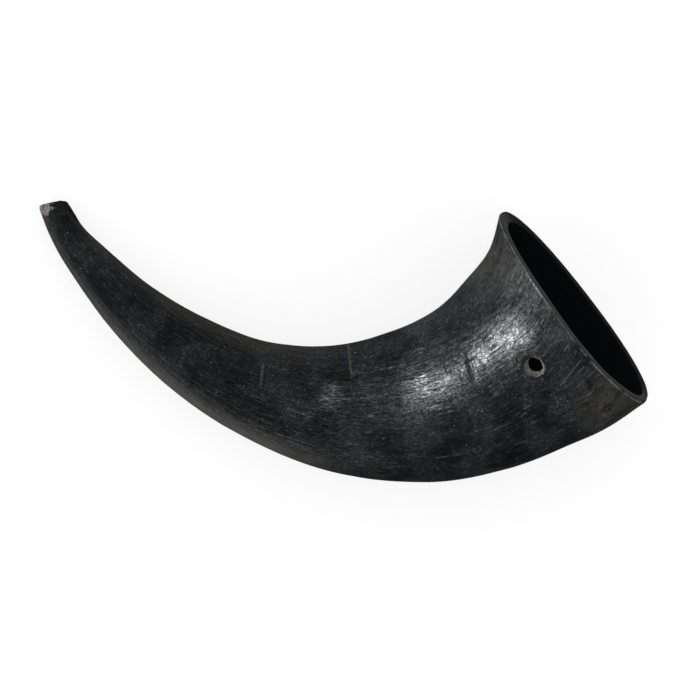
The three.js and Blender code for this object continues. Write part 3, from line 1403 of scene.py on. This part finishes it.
@dataclass
class Horn:
    """The finished horn, as one piece."""

    name: str = "buffalo_horn"
    shell: HornShell = field(default_factory=HornShell)
    relief: Relief = field(default_factory=Relief)
    finish: HornFinish = HornFinish()

    def build(self) -> bpy.types.Object:
        """Make the horn's mesh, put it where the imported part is, and dress it.

        Returns:
            The horn's object.
        """
        bm = self.shell.mesh()
        self.centre(bm)
        self.relief.carve(bm)
        self.centre(bm)
        self.hold(bm)
        bmesh.ops.scale(bm, vec=Vector((MM, MM, MM)), verts=bm.verts[:])
        for face in bm.faces:
            face.smooth = True
        piece = make(self.name, bm, self.finish.material())
        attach(piece, "root")
        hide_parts("horn")
        return piece

    def centre(self, bm: BMesh) -> None:
        """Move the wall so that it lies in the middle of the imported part's box, down on the floor.

        Args:
            bm: The wall, in millimetres.
        """
        low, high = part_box("horn")
        target = (low + high) / 2 / MM
        spots = [vert.co for vert in bm.verts]
        ends = [[pick(spot[axis] for spot in spots) for axis in range(3)] for pick in (min, max)]
        own = (Vector(ends[0]) + Vector(ends[1])) / 2
        shift = Vector((target.x - own.x, target.y - own.y, low.z / MM - ends[0][2]))
        bmesh.ops.translate(bm, verts=bm.verts[:], vec=shift)

    def hold(self, bm: BMesh) -> None:
        """Rub the wall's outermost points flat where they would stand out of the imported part's box.

        Args:
            bm: The wall, in millimetres.
        """
        low, high = (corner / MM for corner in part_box("horn"))
        for vert in bm.verts:
            vert.co = [min(max(vert.co[axis], low[axis]), high[axis]) for axis in range(3)]


@dataclass(frozen=True)
class Softbox:
    """A soft rectangular light, in degrees, metres and watts."""

    name: str
    azimuth: float
    zenith: float
    away: float
    size: Pair
    power: float
    aim: Triple = (0.0, 0.0, 0.0)
    spread: float = 180.0

    def hang(self, lit: bpy.types.Collection) -> None:
        """Hang the light.

        Args:
            lit: What the light falls on.
        """
        azimuth, zenith = math.radians(self.azimuth), math.radians(self.zenith)
        flat = math.sin(zenith)
        spot = Vector((flat * math.cos(azimuth), flat * math.sin(azimuth), math.cos(zenith))) * self.away
        data = bpy.data.lights.new(self.name, "AREA")
        data.shape = "RECTANGLE"
        data.size, data.size_y = self.size
        data.energy = self.power
        data.spread = math.radians(self.spread)
        light = show(self.name, data)
        light.location = Vector(self.aim) + spot
        light.rotation_euler = (-spot).to_track_quat("-Z", "Y").to_euler()
        light.visible_camera = False
        light.light_linking.receiver_collection = lit


@dataclass
class Studio:
    """The pale floor, the soft light and the camera, in metres."""

    floor_size: float = 8.0
    floor_colour: Colour = (0.26, 0.26, 0.26, 1.0)
    floor_glow: float = 0.793
    camera_spot: Triple = (0.00248, -0.00277, 1.175)
    lens: float = 203.65
    window: Softbox = Softbox("window", 176.0, 41.0, 0.40, (0.32, 0.16), 0.112, (0.110, 0.0, 0.040), 22.0)
    fill: Softbox = Softbox("fill", 123.0, 62.0, 1.5, (0.9, 0.9), 2.0)
    sky_side: Triple = (-0.87, -0.49, 0.0)
    sky_far: Triple = (-0.17, 0.98, 0.0)
    sky_colour: Colour = (0.88, 0.955, 1.0, 1.0)
    sky_bright: float = 1.85
    sky_glow: float = 0.26
    sky_top: float = 0.18
    sky_dim: float = 0.035
    sky_even: float = 0.92

    def build(self, piece: bpy.types.Object) -> None:
        """Make the floor, the lights, the sky and the camera.

        Args:
            piece: What the lights fall on.
        """
        self.floor()
        lit = bpy.data.collections.new("lit")
        lit.objects.link(piece)
        self.window.hang(lit)
        self.fill.hang(lit)
        self.sky()
        self.camera()
        bpy.context.scene.view_settings.view_transform = "Standard"

    def floor(self) -> None:
        """Lay the floor under the horn."""
        bm = bmesh.new()
        bmesh.ops.create_grid(bm, x_segments=8, y_segments=8, size=self.floor_size / 2)
        made = bpy.data.materials.new("pale_floor")
        made.use_nodes = True
        graph = Graph(made.node_tree)
        inputs = {
            "Base Color": self.floor_colour,
            "Roughness": 0.9,
            "Specular IOR Level": 0.0,
            "Emission Color": (1, 1, 1, 1),
            "Emission Strength": self.floor_glow,
        }
        shader = graph.add("BsdfPrincipled", inputs)
        graph.add("OutputMaterial", {"Surface": shader.outputs[0]})
        floor = make("floor", bm, made)
        floor.visible_glossy = False

    def sky(self) -> None:
        """Light the room evenly: brighter on the window's side, and darker on the other."""
        world = bpy.data.worlds.new("room")
        world.use_nodes = True
        bpy.context.scene.world = world
        graph = Graph(world.node_tree)
        way = graph.add("TexCoord", {}).outputs["Generated"]
        side = graph.vector("DOT_PRODUCT", way, self.sky_side)
        far = graph.vector("DOT_PRODUCT", way, self.sky_far)
        bright = graph.plus(
            graph.fade(side, 0.62, 1.0, self.sky_dim, self.sky_bright),
            graph.fade(far, 0.0, 0.9, 0.0, self.sky_glow),
            graph.fade(graph.axis(way, "Z"), 0.2, 0.8, 0.0, self.sky_top),
        )
        mirrored = graph.add("LightPath", {}).outputs["Is Glossy Ray"]
        strength = graph.part(mirrored, self.sky_even, bright)
        colour = graph.tint(mirrored, (1, 1, 1, 1), self.sky_colour)
        shade = graph.add("Background", {"Color": colour, "Strength": strength})
        graph.add("OutputWorld", {"Surface": shade.outputs[0]})
        world.cycles.sampling_method = "NONE"

    def camera(self) -> None:
        """Set the camera straight above the horn."""
        data = bpy.data.cameras.new("camera")
        data.sensor_width = 36.0
        data.lens = self.lens
        data.clip_start = 0.01
        camera = show("camera", data)
        camera.location = self.camera_spot
        bpy.context.scene.camera = camera


def main() -> None:
    """Build the horn and its studio, and note the sizes."""
    piece = Horn().build()
    LOG.info("%s: %d vertices, %d faces", piece.name, len(piece.data.vertices), len(piece.data.polygons))
    Studio().build(piece)
    LOG.info("studio: floor, window, room and camera")


if __name__ == "__main__":
    logging.basicConfig(level=logging.INFO)
    main()
